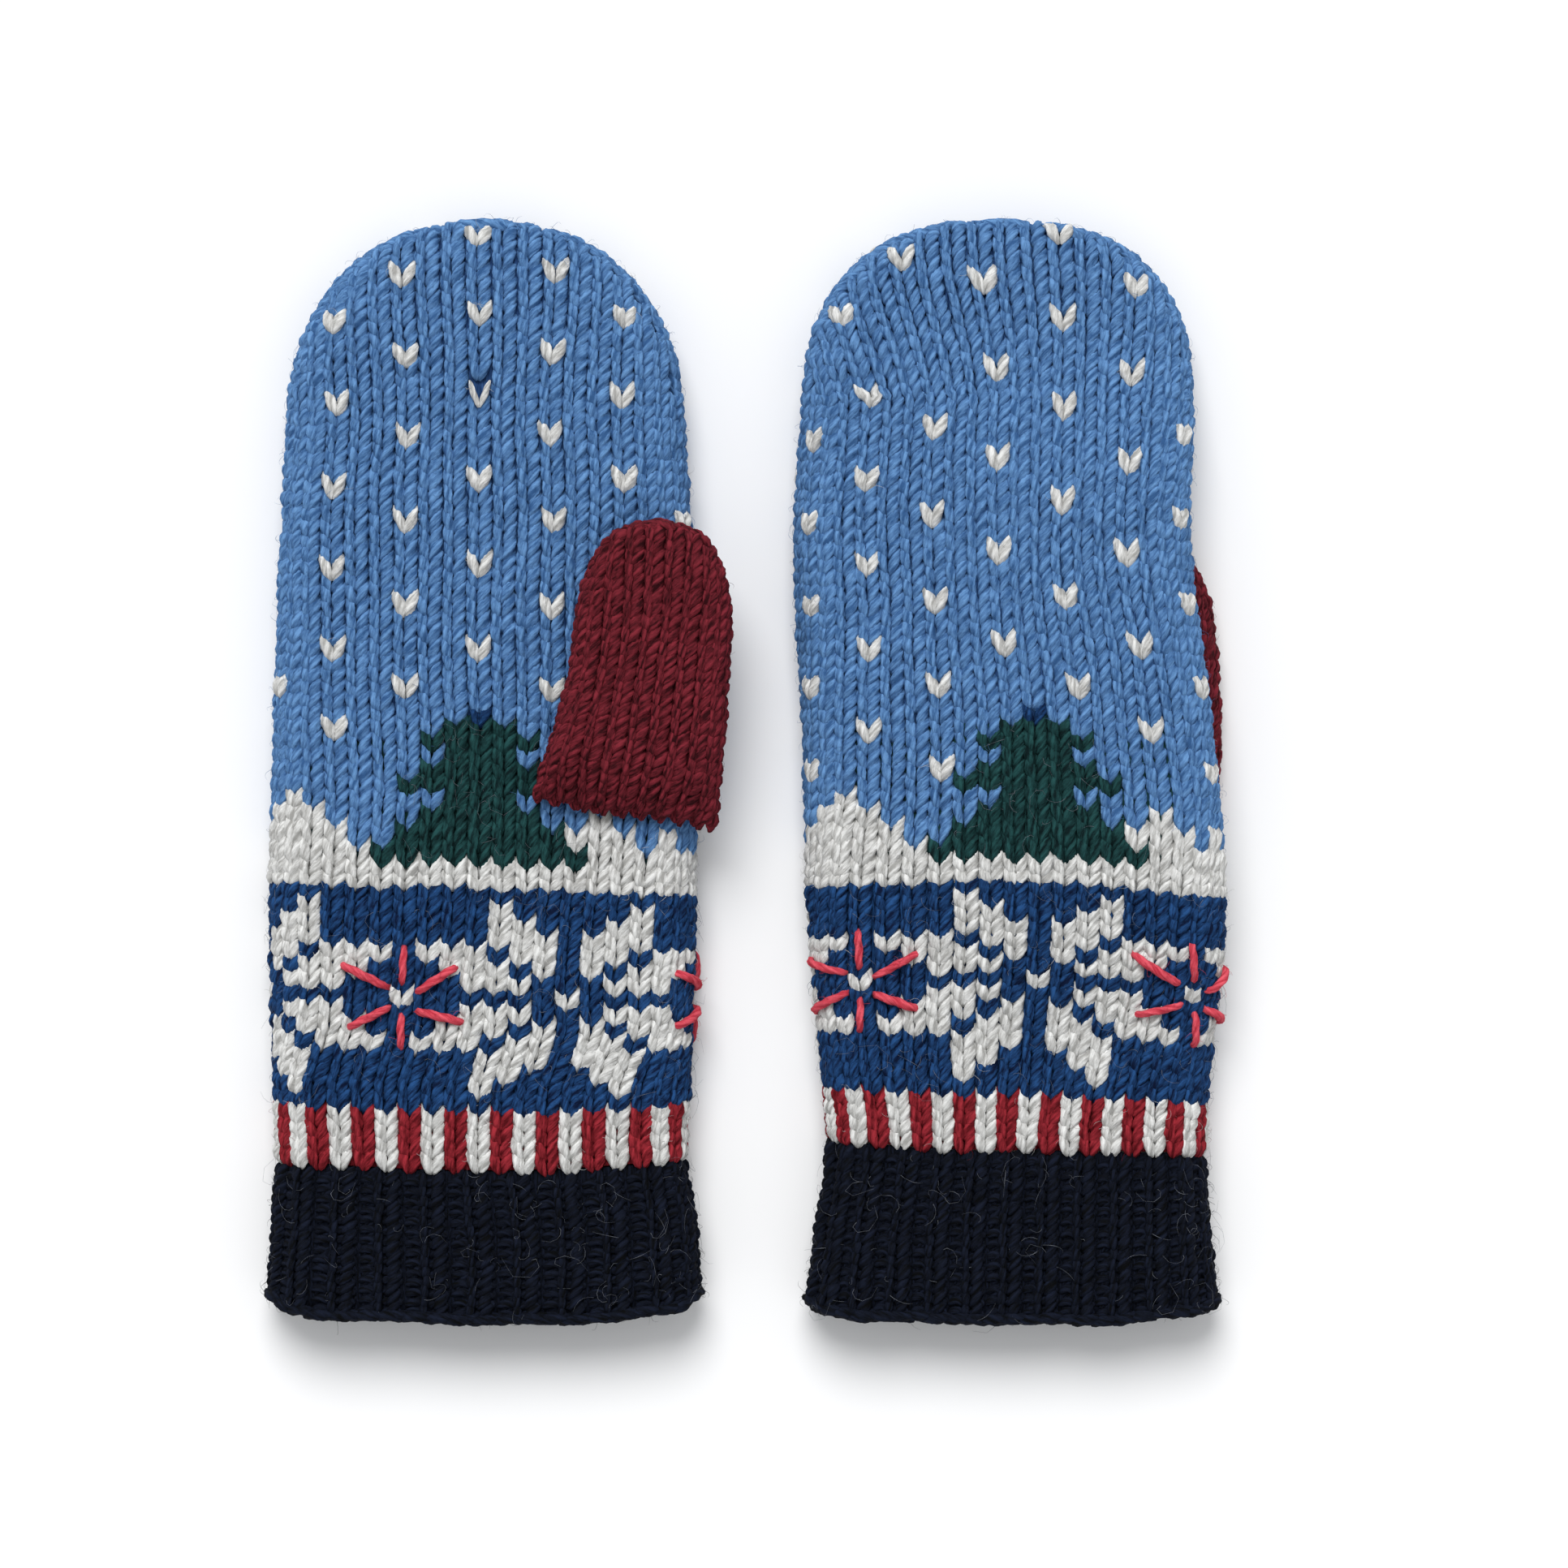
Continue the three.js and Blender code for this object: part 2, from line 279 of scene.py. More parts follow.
class Column:
    """One wale of a tube: where its middle runs, row by row."""

    def __init__(self, tube, wale, wales=None):
        wales = wales or tube.wales
        lower = np.linspace(0, tube.tip, LOWER_STEPS)
        quarter = np.linspace(0, math.pi / 2, TIP_STEPS)[1:]
        upper = tube.tip + (tube.length - tube.tip) * np.sin(quarter)
        self.s = np.concatenate([lower, upper])
        low = np.minimum(self.s, tube.tip)
        wale = leaning_wale(tube, wale, wales, low)
        way = 1 if wale.mean() >= 0 else -1
        _, half, deep = tube.section(low)
        flat = half - deep
        pitch = (4 * flat + 2 * math.pi * deep / SIDE_CLOSER) / wales
        edge = flat / pitch
        reach = way * wale
        angle = (reach - edge) * pitch * SIDE_CLOSER / deep
        under = flat + math.pi * deep + (angle - math.pi) * deep / SIDE_CLOSER
        side = np.where(angle < math.pi, flat + angle * deep, under)
        self.around = np.where(reach < edge, reach * pitch, side)
        self.width = np.where((angle > 0) & (angle < math.pi), pitch * SIDE_CLOSER, pitch)

        tip_angle = np.clip(angle[-1], 0, math.pi)
        rim_angle = tube.rim * pitch[-1] * SIDE_CLOSER / (tube.thickness / 2)
        if abs(tip_angle - math.pi / 2) <= rim_angle:
            done = self.go_round_rim(tube, tip_angle)
        else:
            x = flat[-1] + tube.thickness / 2 * math.sin(tip_angle)
            if angle[-1] <= 0:
                x = reach[-1] * pitch[-1]
            if angle[-1] >= math.pi:
                x = (wales / 2 - reach[-1]) * pitch[-1]
            done = self.go_over_face(tube, x, way, tip_angle < math.pi / 2, rim_angle)
        self.around = self.around * way
        self.number_rows(tube, low, done)

    def go_round_rim(self, tube, tip_angle):
        """Leads the wale round the rim of the tip. Returns where it is past its end."""
        _, half, deep = tube.section(self.s)
        above = self.s > tube.tip
        self.around = np.where(above, half - deep + deep * tip_angle, self.around)
        self.width = np.where(above, self.width * deep / (tube.thickness / 2), self.width)
        return above & (half < RIM_STOP)

    def go_over_face(self, tube, x, way, on_upper_face, rim_angle):
        """Leads the wale over a face of the tip. Returns where it is past its end."""
        _, half, deep = tube.section(self.s)
        flat = half - deep
        above = self.s > tube.tip
        middle, share = tube.fan
        share = share * smooth(self.s, tube.tip - 8, tube.length)
        x = x + share * (x - way * middle)
        width = self.width * (1 + share)
        narrow = half / half[LOWER_STEPS - 1]
        follow = np.clip(x[LOWER_STEPS - 1] / half[LOWER_STEPS - 1], 0, 1) ** TIP_FOLLOW
        x = x * narrow**follow
        sine = np.clip((x - flat) / deep, 0, 1)
        on_top = np.where(x < flat, x, flat + deep * np.arcsin(sine))
        run = on_top if on_upper_face else 2 * flat + math.pi * deep - on_top
        self.around = np.where(above, run, self.around)
        wider = np.minimum(1 / np.sqrt(1.01 - sine**2), 1.3)
        self.width = np.where(above, width * wider, width)
        return above & (sine >= math.cos(RIM_OVERLAP * rim_angle))

    def number_rows(self, tube, low, done):
        """Row number at each height, and the last row of the wale."""
        path = tube.skin(self.around, self.s)
        run = np.concatenate([[0], np.cumsum(np.linalg.norm(np.diff(path, axis=0), axis=1))])
        pitch_up = THUMB_PITCH if tube.is_thumb else HAND_PITCH * tube.tip_stretch
        self.rows = tube.rows_at(low, path[:, 0] - tube.x)
        first = LOWER_STEPS - 1
        self.rows[first:] = self.rows[first] + (run[first:] - run[first]) / pitch_up
        done = done | (self.s > tube.length - CLOSED)
        self.end = self.rows[int(np.argmax(done))]

    def at(self, rows):
        """Height, distance around and width of the wale at some rows."""
        s = np.interp(rows, self.rows, self.s)
        return s, np.interp(s, self.s, self.around), np.interp(s, self.s, self.width)


# ---- yarn -----------------------------------------------------------------------------

YARN = 1.38  # radius of the knitting yarn
SIDES = 12  # mesh points around a strand, and along one leg of a stitch
RINGS = 8
PLIES = 3
PLY_DEPTH = 0.17
TURN = 14  # length of one turn of the plies

V_START = -0.78  # a stitch starts this many rows below its own row, and is so many tall
V_ROWS = 1.95
SHORTEST = 0.55  # the last stitch of a wale may be shortened to this share
FOOT_DIVE = 1.3  # how far the two ends of a leg dive behind its middle
TOP_DIVE = 2.3
TIP_WIDTH = 7.5  # half length of the strands that close the tip of a hand
LOOSE_SINK = 2.4  # the stitch above a loose one is drawn in this deep
LOOSE_SLIM = 0.6  # and the loose one is this share as thick
LEG_END = 0.3  # thickness of the ends of a leg, as a share of its middle
# Of the left and of the right leg: places of the foot and the top in wale widths, and size.
EVEN_V = ((-0.08, -0.46, 1.0), (0.08, 0.46, 1.0))
LEANING_V = ((-0.17, -0.41, 0.9), (0.0, 0.45, 1.02))
SLANTING_V = ((-0.2, -0.38, 0.82), (-0.1, 0.45, 1.02))
FLECK_V = ((-0.05, -0.47, 1.0), (0.05, 0.47, 1.0))
FLECK_PROUD = 0.55  # the white stitches in the sky stand out this much
FLECK_DIVE = 0.5  # and their ends dive only this share as deep


class Strands:
    """Centre lines of short strands of yarn that make up one piece."""

    def __init__(self):
        self.parts = []

    def add(self, centre, normal, radius):
        self.parts.append((centre, normal, radius))

    def count(self):
        return sum(len(p[0]) for p in self.parts)


def strand_mesh(centre, normal, radius, sides=SIDES):
    """Points, texture coordinates and faces of closed strands with twisted plies."""
    count, rings = centre.shape[:2]
    tangent = unit(np.gradient(centre, axis=1))
    right = unit(np.cross(tangent, normal))
    out = np.cross(right, tangent)
    steps = np.linalg.norm(np.diff(centre, axis=1), axis=2)
    run = np.concatenate([np.zeros((count, 1)), np.cumsum(steps, axis=1)], axis=1)
    angle = -math.pi / 2 + 2 * math.pi * np.arange(sides) / sides
    phase = rng.uniform(0, 2 * math.pi, (count, 1, 1))
    twisted = angle + run[:, :, None] * (2 * math.pi / TURN)
    bulge = 1 + PLY_DEPTH * np.cos(PLIES * twisted + phase)
    reach = (radius[:, :, None] * bulge)[..., None]
    wheel = np.cos(angle)[:, None] * right[:, :, None] + np.sin(angle)[:, None] * out[:, :, None]
    points = centre[:, :, None] + reach * wheel
    ends = centre[:, [0, -1]] + tangent[:, [0, -1]] * radius[:, [0, -1], None] * [[-0.6], [0.6]]
    vertices = np.concatenate([points.reshape(count, -1, 3), ends], axis=1)

    shift = rng.uniform(0, 500, (count, 1, 1))
    u = (PLIES * twisted + phase) / math.tau + np.round(shift)
    v = np.broadcast_to(run[:, :, None] + shift, u.shape)
    uv = np.stack([u, v], -1).reshape(count, -1, 2)
    uv = np.concatenate([uv, uv[:, [0, -1]]], axis=1)

    i = np.arange(rings - 1)[:, None] * sides
    j = np.arange(sides)[None, :]
    k = (j + 1) % sides
    quads = np.stack([i + j, i + sides + j, i + sides + k, i + k], -1).reshape(-1, 4)
    low = np.stack([np.full(sides, rings * sides), j[0], k[0]], -1)
    top = (rings - 1) * sides
    high = np.stack([np.full(sides, rings * sides + 1), top + k[0], top + j[0]], -1)
    each = rings * sides + 2
    base = (np.arange(count) * each)[:, None, None]
    quads = (quads[None] + base).reshape(-1, 4)
    tris = (np.concatenate([low, high])[None] + base).reshape(-1, 3)
    return vertices.reshape(-1, 3), uv.reshape(-1, 2), quads, tris


def build(name, meshes, material, body, above=0.03):
    """One object from several (points, texture coordinates, quads, triangles)."""
    points, coords, quads, tris = [], [], [], []
    base = 0
    for vertices, uv, four, three in meshes:
        points.append(vertices)
        coords.append(uv)
        quads.append(four + base)
        tris.append(three + base)
        base += len(vertices)
    points, coords = np.concatenate(points), np.concatenate(coords)
    quads = np.concatenate(quads).astype(np.int32)
    tris = np.concatenate(tris).astype(np.int32)
    points[:, 2] = np.maximum(points[:, 2], above)
    corners = np.concatenate([quads.ravel(), tris.ravel()])
    starts = np.arange(len(quads)) * 4
    starts = np.concatenate([starts, len(quads) * 4 + np.arange(len(tris)) * 3])

    mesh = bpy.data.meshes.new(name)
    mesh.vertices.add(len(points))
    mesh.vertices.foreach_set("co", (points * MM).astype(np.float32).ravel())
    mesh.loops.add(len(corners))
    mesh.loops.foreach_set("vertex_index", corners)
    mesh.polygons.add(len(starts))
    mesh.polygons.foreach_set("loop_start", starts.astype(np.int32))
    mesh.update(calc_edges=True)
    mesh.polygons.foreach_set("use_smooth", np.ones(len(starts), bool))
    layer = mesh.uv_layers.new(name="yarn")
    layer.data.foreach_set("uv", coords[corners].astype(np.float32).ravel())
    mesh.materials.append(material)
    piece = bpy.data.objects.new(name, mesh)
    bpy.context.scene.collection.objects.link(piece)
    if isinstance(body, str):
        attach(piece, body)
    return piece


# ---- materials ------------------------------------------------------------------------


def linear(colour):
    """Linear colour from 0..255 screen values."""
    c = np.array(colour, float) / 255
    return tuple(np.where(c <= 0.04045, c / 12.92, ((c + 0.055) / 1.055) ** 2.4)) + (1.0,)


def new_material(name):
    """A material, its node tree and its shader."""
    material = bpy.data.materials.new(name)
    material.use_nodes = True
    return material, material.node_tree, material.node_tree.nodes["Principled BSDF"]


def set_inputs(node, **values):
    for name, value in values.items():
        node.inputs[name.replace("_", " ")].default_value = value


def add_math(tree, operation, first, *others):
    node = tree.nodes.new("ShaderNodeMath")
    node.operation = operation
    tree.links.new(first, node.inputs[0])
    for socket, value in zip(node.inputs[1:], others):
        if isinstance(value, float):
            socket.default_value = value
        else:
            tree.links.new(value, socket)
    return node.outputs[0]


def add_noise(tree, vector, scale, detail, roughness=0.5):
    noise = tree.nodes.new("ShaderNodeTexNoise")
    set_inputs(noise, Scale=scale, Detail=detail, Roughness=roughness)
    tree.links.new(vector, noise.inputs["Vector"])
    return noise.outputs["Fac"]


def add_fibres(tree, vector, scale, detail):
    """Noise that is stretched along the yarn."""
    mapping = tree.nodes.new("ShaderNodeMapping")
    set_inputs(mapping, Scale=scale)
    tree.links.new(vector, mapping.inputs["Vector"])
    return add_noise(tree, mapping.outputs["Vector"], 1, detail, 0.65)


def add_colours(tree, shader, tone, low, high, dark, light):
    """Base colour: dark where tone is low, light where it is high."""
    ramp = tree.nodes.new("ShaderNodeValToRGB")
    for stop, place, colour in zip(ramp.color_ramp.elements, (low, high), (dark, light)):
        stop.position = place
        stop.color = linear(colour)
    tree.links.new(tone, ramp.inputs["Fac"])
    tree.links.new(ramp.outputs["Color"], shader.inputs["Base Color"])


def add_relief(tree, shader, height, strength, distance):
    relief = tree.nodes.new("ShaderNodeBump")
    set_inputs(relief, Strength=strength, Distance=distance)
    tree.links.new(height, relief.inputs["Height"])
    tree.links.new(relief.outputs["Normal"], shader.inputs["Normal"])


def wool(name, dark, light, sheen=0.25, bump=0.6):
    """Plied wool: fibres that follow the plies, with painted shade that makes the colour darker
    between the plies than on them.
    """
    material, tree, shader = new_material(name)
    set_inputs(shader, Roughness=0.88, Specular_IOR_Level=0.12, Sheen_Weight=sheen)
    set_inputs(shader, Sheen_Roughness=0.45, Sheen_Tint=linear(light))
    coords = tree.nodes.new("ShaderNodeUVMap")
    coords.uv_map = "yarn"
    yarn = coords.outputs["UV"]
    split = tree.nodes.new("ShaderNodeSeparateXYZ")
    tree.links.new(yarn, split.inputs[0])
    crown = add_math(tree, "COSINE", add_math(tree, "MULTIPLY", split.outputs["X"], math.tau))

    fibres = add_fibres(tree, yarn, (2.6, 0.26, 1), 4)
    # painted shade: crown lightens the colour on the top of each ply and darkens it in the grooves
    # between the plies
    tone = add_math(tree, "MULTIPLY_ADD", crown, 0.05, fibres)
    add_colours(tree, shader, tone, 0.37, 0.64, dark, light)
    fibres = add_fibres(tree, yarn, (6, 0.6, 1), 3)
    height = add_math(tree, "MULTIPLY_ADD", crown, 0.22, fibres)
    add_relief(tree, shader, height, bump, 0.6 * MM)
    return material


MATERIALS = {
    "navy": wool("navy_wool", (0, 1, 3), (18, 24, 40), sheen=0.01),
    "red": wool("red_wool", (80, 8, 16), (158, 44, 54), sheen=0.04),
    "royal": wool("royal_wool", (3, 17, 46), (36, 77, 129), sheen=0.02),
    "white": wool("white_wool", (156, 155, 152), (228, 228, 226), sheen=0.1, bump=0.45),
    "green": wool("green_wool", (4, 24, 26), (34, 76, 76), sheen=0.02),
    "blue": wool("sky_wool", (50, 86, 132), (104, 148, 198), sheen=0.08),
    "burgundy": wool("burgundy_wool", (44, 5, 11), (124, 38, 49), sheen=0.03),
    "coral": wool("coral_wool", (180, 46, 62), (228, 92, 106), sheen=0.08),
    "lint": wool("lint", (92, 96, 106), (152, 156, 164), sheen=0),
    # the yarn carried behind the sky, in a darker blue than the sky yarn: painted shade in the
    # gaps between the stitches
    "floats_and_painted_shade": wool("floats_and_painted_shade", (24, 50, 92), (58, 94, 148), sheen=0.02),
}


def fleece_material():
    material, tree, shader = new_material("fleece")
    set_inputs(shader, Roughness=1, Sheen_Weight=0.4)
    where = tree.nodes.new("ShaderNodeTexCoord")
    curls = add_noise(tree, where.outputs["Object"], 420, 4)
    add_colours(tree, shader, curls, 0.3, 0.7, (176, 170, 158), (216, 211, 200))
    add_relief(tree, shader, curls, 0.8, 0.8 * MM)
    return material


FLEECE_MATERIAL = fleece_material()

# ---- stitches -------------------------------------------------------------------------


def wander(around, s, seed):
    """Slow shifts of the knitting across and up, so that no wale is quite straight."""
    across = 0.32 * np.sin(s / 17 + around / 37 + seed) + 0.22 * np.sin(s / 7.3 - around / 13)
    up = 0.35 * np.sin(around / 11.7 + seed * 2) + 0.25 * np.sin(around / 4.9 + s / 31)
    return across, up


def knit_legs(tube, column, rows, shape, seed, radius=YARN, sink=0.0, tall=V_ROWS, dives=1.0):
    """Centre lines, normals and radii of both legs of the stitches of one wale."""
    rows = np.asarray(rows, float)
    count = len(rows)
    u = np.linspace(0, 1, RINGS)[None, :]
    spindle = LEG_END + (1 - LEG_END) * np.sin(math.pi * u) ** 0.75
    dive = dives * (FOOT_DIVE * (1 - u) ** 3 + TOP_DIVE * u**3)
    legs = []
    size = radius * (1 + rng.normal(0, 0.05, (count, 1)))
    rise = rng.normal(0, 0.04, (count, 1))
    depth = rng.normal(0, 0.16, (count, 1)) - sink
    for foot, top, share in shape:
        jump = rng.normal(0, 0.018, (count, 1))
        plump = size * share * (1 + rng.normal(0, 0.04, (count, 1)))
        start = rows[:, None] + V_START + (V_ROWS - tall) / 2
        r = start + (rise + tall) * u
        r = start + (r - start) * np.minimum((column.end - start) / (tall + rise), 1)
        s, around, width = column.at(r)
        spread = width * (foot + (top - foot) * u + jump)
        across, up = wander(around, s, seed)
        skin, normal = tube.skin_and_normal(around + spread + across, s + up)
        outset = -0.9 * plump - dive * (size / YARN) + depth
        legs.append((skin + outset[..., None] * normal, normal, plump * spindle, skin))
    return [np.concatenate([legs[0][i], legs[1][i]]) for i in range(4)]


def add_stitches(bins, tube, column, yarns, first, shape_of, seed, loose=()):
    """Knits one wale from row first, where yarns lists the (piece, shape) of each row."""
    rows = np.arange(first, first + len(yarns))
    keep = rows + V_START + SHORTEST * V_ROWS < column.end
    rows, yarns = rows[keep], [y for y, k in zip(yarns, keep) if k]
    for shape in (EVEN_V, LEANING_V, SLANTING_V, FLECK_V):
        chosen = [i for i, y in enumerate(yarns) if shape_of(y) is shape]
        if not chosen:
            continue
        proud, dives = (FLECK_PROUD, FLECK_DIVE) if shape is FLECK_V else (0.0, 1.0)
        sink = np.array([[LOOSE_SINK if rows[i] - 1 in loose else 0.0] for i in chosen]) - proud
        slim = np.array([[LOOSE_SLIM if rows[i] in loose else 1.0] for i in chosen])
        centre, normal, thick, _ = knit_legs(
            tube, column, rows[chosen], shape, seed, YARN * slim, sink, dives=dives
        )
        keys = [yarns[i] for i in chosen] * 2
        for key in dict.fromkeys(keys):
            pick = np.array([k == key for k in keys])
            bins.setdefault(key, Strands()).add(centre[pick], normal[pick], thick[pick])


def tip_stitches(tube):
    """Short strands that close the very tip, where the wales of both sides meet."""
    u = np.linspace(-1, 1, RINGS)
    centre_z = tube.thickness / 2
    reach = TIP_WIDTH * tube.thickness / THICKNESS
    strands = []
    for height in np.linspace(-1, 1, 4) * tube.thickness * 0.2:
        x = along(tube.outline, tube.length, 1) + reach * u + rng.normal(0, 0.4)
        s = tube.length - YARN - 0.9 * u**2 - 0.5 * (height / tube.thickness * 5) ** 2
        z = centre_z + height + 0.4 * u
        strands.append(tube.place(x, s, z))
    strands = np.array(strands)
    normal = np.broadcast_to([0.0, 1.0, 0.0], strands.shape)
    thick = YARN * np.broadcast_to(1 - 0.6 * u**6, strands.shape[:2])
    return strands, normal, thick


def shell_mesh(tube, start, end, inset, wall, around_steps=72, rough=0.0):
    """A thin closed shell along a tube; it has a rounded end if end is the tube's own."""
    closed = end >= tube.length

    def layer(depth):
        top = tube.length - depth - 0.02 if closed else end
        s = np.arange(start, min(top, tube.tip), 5.0)
        if top > tube.tip:
            turn = np.linspace(0, math.pi / 2, 16)
            s = np.concatenate([s, tube.tip + (top - tube.tip) * np.sin(turn)])
        else:
            s = np.append(s, top)
        s = s[:, None]
        _, half, deep = tube.section(s, depth)
        total = 4 * (half - deep) + 2 * math.pi * deep
        around = total * (np.arange(around_steps)[None, :] / around_steps - 0.5)
        points = tube.skin(around, np.broadcast_to(s, around.shape), depth)
        if rough:
            points = points + rng.normal(0, rough, points.shape)
        return points

    outer, inner = layer(inset), layer(inset + wall)
    levels, n = outer.shape[:2]
    points = np.concatenate([outer.reshape(-1, 3), inner.reshape(-1, 3)])
    j = np.arange(n)
    k = (j + 1) % n
    i = (np.arange(levels - 1) * n)[:, None]
    size = levels * n
    quads = [
        np.stack([i + j, i + k, i + n + k, i + n + j], -1).reshape(-1, 4),
        np.stack([i + j, i + n + j, i + n + k, i + k], -1).reshape(-1, 4) + size,
        np.stack([j, size + j, size + k, k], -1),
    ]
    last = (levels - 1) * n
    tris = np.zeros((0, 3), int)
    if closed:
        ends = [outer[-1].mean(axis=0), inner[-1].mean(axis=0)]
        points = np.concatenate([points, ends])
        top = np.stack([last + j, last + k, np.full(n, 2 * size)], -1)
        below = np.stack([size + last + k, size + last + j, np.full(n, 2 * size + 1)], -1)
        tris = np.concatenate([top, below])
    else:
        quads.append(np.stack([last + j, last + k, size + last + k, size + last + j], -1))
    uv = points[:, :2].copy()
    return points, uv, np.concatenate(quads), tris


# ---- knitting charts ------------------------------------------------------------------

STRIPE_ROWS = 4
STAR_ROWS = 13  # with one more plain row below and above
TREE_ROWS = 10
TREE_PIECES = {"green": "tree", "white": "snow", "royal": "treetop"}
SKY_ROWS = 40  # more than fit; a wale stops where the hand ends
WHITE_ROWS = 2  # of snow below the trees
FIRST_STRIPE = 14  # row, counted from the cast-on edge

# One quarter of the star: rows from the edge to the middle, stitches from its centre out.
STAR = ["...#....", "..##....", ".###....", ".##.###.", ".#.###..", "..###...", "#......#"]
STAR_REPEAT = 14
TREE_HALF = [4, 3, 2, 1, 3, 2, 1, 2, 1]  # half width of the tree, from its lowest row
TREE_REPEAT = 21
# Height of the snow in each stitch of the repeat, from ten left of the tree's middle.
SNOW = [2, 3, 4, 3, 2, 1, 0, 0, 0, 0, 0, 0, 0, 0, 0, 3, 2, 1, 2, 1, 1]
SKY_PARTS = [0, 13, 24, 34]  # first row of each piece of the sky, above the snow


def star_is_white(row, stitch):
    line = STAR[min(row, STAR_ROWS - 1 - row)]
    away = abs((stitch + STAR_REPEAT // 2) % STAR_REPEAT - STAR_REPEAT // 2)
    return line[away] == "#"


def tree_yarn(row, stitch):
    """Yarn of a stitch in the tree rows, or None for the sky."""
    away = (stitch + 10) % TREE_REPEAT - 10
    if row < len(TREE_HALF) and abs(away) <= TREE_HALF[row]:
        return "green"
    if row < SNOW[away + 10] or (away == 4 and row == 1):
        return "white"
    if row == len(TREE_HALF) and away == 0:
        return "royal"
    return None


def fleck(side, row, stitch):
    """True for a white stitch in the sky; row counts from the top of the trees."""
    if side == "right":
        if (stitch == -9 and row > 3) or (stitch == 9 and row > 15):
            return False
        if stitch % 6 == 0:
            return row >= 0 and row % 6 == 0
        return stitch % 6 == 3 and row > 0 and row % 6 == 3
    if stitch % 6 == 2:
        return row >= -3 and row % 6 == 3 and (row, stitch) != (27, -4)
    return stitch % 6 == 5 and row >= 0 and row % 6 == 0


def chart(side, stitch, star_at, first_white):
    """(piece, yarn) of every row of one wale above the cuff; stitch 0 is the tree's middle."""
    rows = []
    for _ in range(STRIPE_ROWS):
        white = (stitch - star_at) % 2 == first_white
        rows.append(("stripes_white", "white") if white else ("stripes_red", "red"))
    for row in range(-1, STAR_ROWS + 1):
        white = 0 <= row < STAR_ROWS and star_is_white(row, stitch - star_at)
        rows.append(("stars_white", "white") if white else ("stars_royal", "royal"))
    rows += [("snow", "white")] * WHITE_ROWS
    for row in range(TREE_ROWS + SKY_ROWS):
        yarn = tree_yarn(row, stitch) if row < TREE_ROWS else None
        if yarn:
            rows.append((TREE_PIECES[yarn], yarn))
        elif fleck(side, row - TREE_ROWS + 2, stitch):
            rows.append(("flecks", "white"))
        else:
            part = sum(row >= start for start in SKY_PARTS)
            rows.append((f"sky_{part}", "blue"))
    return rows


def shape_of(key):
    """Legs of a stitch: the looser yarns lie less evenly."""
    if key[1] == "burgundy":
        return SLANTING_V
    if key[0] == "flecks":
        return FLECK_V
    return LEANING_V if key[1] in ("blue", "royal") else EVEN_V


# ---- cuff -----------------------------------------------------------------------------

CUFF_ROWS = 14
RIB_YARN = 1.38
RIB_V = ((-0.28, -0.3, 0.7), (-0.1, 0.16, 0.95))
RIB_ROWS = 1.6  # height of a stitch of the ribbing, in rows
BUMP_YARN = 1
RIB_DEPTH = 5  # from the outer to the inner face of the ribbing


def turned_in(strands):
    """Strands laid on the outer face, moved through the fabric to face the other way."""
    centre, normal, thick, skin = strands
    outset = ((centre - skin) * normal).sum(axis=-1, keepdims=True)
    return skin - (RIB_DEPTH + outset) * normal, -normal, thick


def purl_bumps(tube, column, rows, seed):
    """The short arcs that cross the furrow between two ribs."""
    u = np.linspace(0, 1, RINGS)[None, :]
    hump = 1 - (2 * u - 1) ** 2
    lift = rng.normal(0, 0.05, (len(rows), 1))
    s, around, width = column.at(rows[:, None] - 0.3 + lift + 0.32 * hump)
    across, up = wander(around, s, seed)
    skin, normal = tube.skin_and_normal(around + (u - 0.5) * width * 0.4 + across, s + up)
    outset = -2.9 + 0.6 * hump + rng.normal(0, 0.1, (len(rows), 1))
    thick = BUMP_YARN * np.broadcast_to(1 - 0.3 * (1 - hump) ** 2, outset.shape)
    return skin + outset[..., None] * normal, normal, thick, skin


def cast_on(tube, ribs, seed):
    """The twisted edge: two rings of slanting strands, outside and inside."""
    count = ribs * 2
    wale = np.arange(count) / 2
    u = np.linspace(0, 1, RINGS)
    rings = []
    for outset, slant in ((-1.0, 1.0), (-2.7, -1.0)):
        centres, normals = [], []
        for w in wale:
            column = Column(tube, w, ribs)
            s = 0.9 + 0.75 * slant * (u - 0.5) + rng.normal(0, 0.15)
            around = np.interp(s, column.s, column.around)
            width = column.width[0]
            across, up = wander(around, s, seed)
            run = around + (u - 0.5) * width * 0.72 + across
            skin, normal = tube.skin_and_normal(run, s + up)
            dip = 0.9 * (2 * u - 1) ** 2
            centres.append(skin + (outset - dip * (1 if outset > -2 else -1))[:, None] * normal)
            normals.append(normal)
        thick = 1.3 * (1 - 0.35 * np.abs(2 * u - 1) ** 3)
        thick = np.broadcast_to(thick, (count, RINGS)) * (1 + rng.normal(0, 0.06, (count, 1)))
        rings.append((np.array(centres), np.array(normals), thick))
    return rings


def cuff(tube, ribs, seed):
    """The ribbed cuff: the ribs of its outer and inner face, and the bumps between them."""
    outer, inner, bumps = Strands(), Strands(), Strands()
    rows = np.linspace(0.85, CUFF_ROWS - 1.5, CUFF_ROWS)
    for rib in range(ribs):
        ridge, furrow = Column(tube, rib, ribs), Column(tube, rib + 0.5, ribs)
        outer.add(*knit_legs(tube, ridge, rows, RIB_V, seed, RIB_YARN, tall=RIB_ROWS)[:3])
        bumps.add(*purl_bumps(tube, furrow, rows, seed)[:3])
        legs = knit_legs(tube, furrow, rows, RIB_V, seed, RIB_YARN, tall=RIB_ROWS)
        inner.add(*turned_in(legs))
        bumps.add(*turned_in(purl_bumps(tube, ridge, rows, seed)))
    edge = cast_on(tube, ribs, seed)
    outer.add(*edge[0])
    inner.add(*edge[1])
    return outer, inner, bumps


# ---- embroidery, hairs and lining -----------------------------------------------------

FLOWER_ROW = 25.1  # row of the white stitch in the middle of a flower
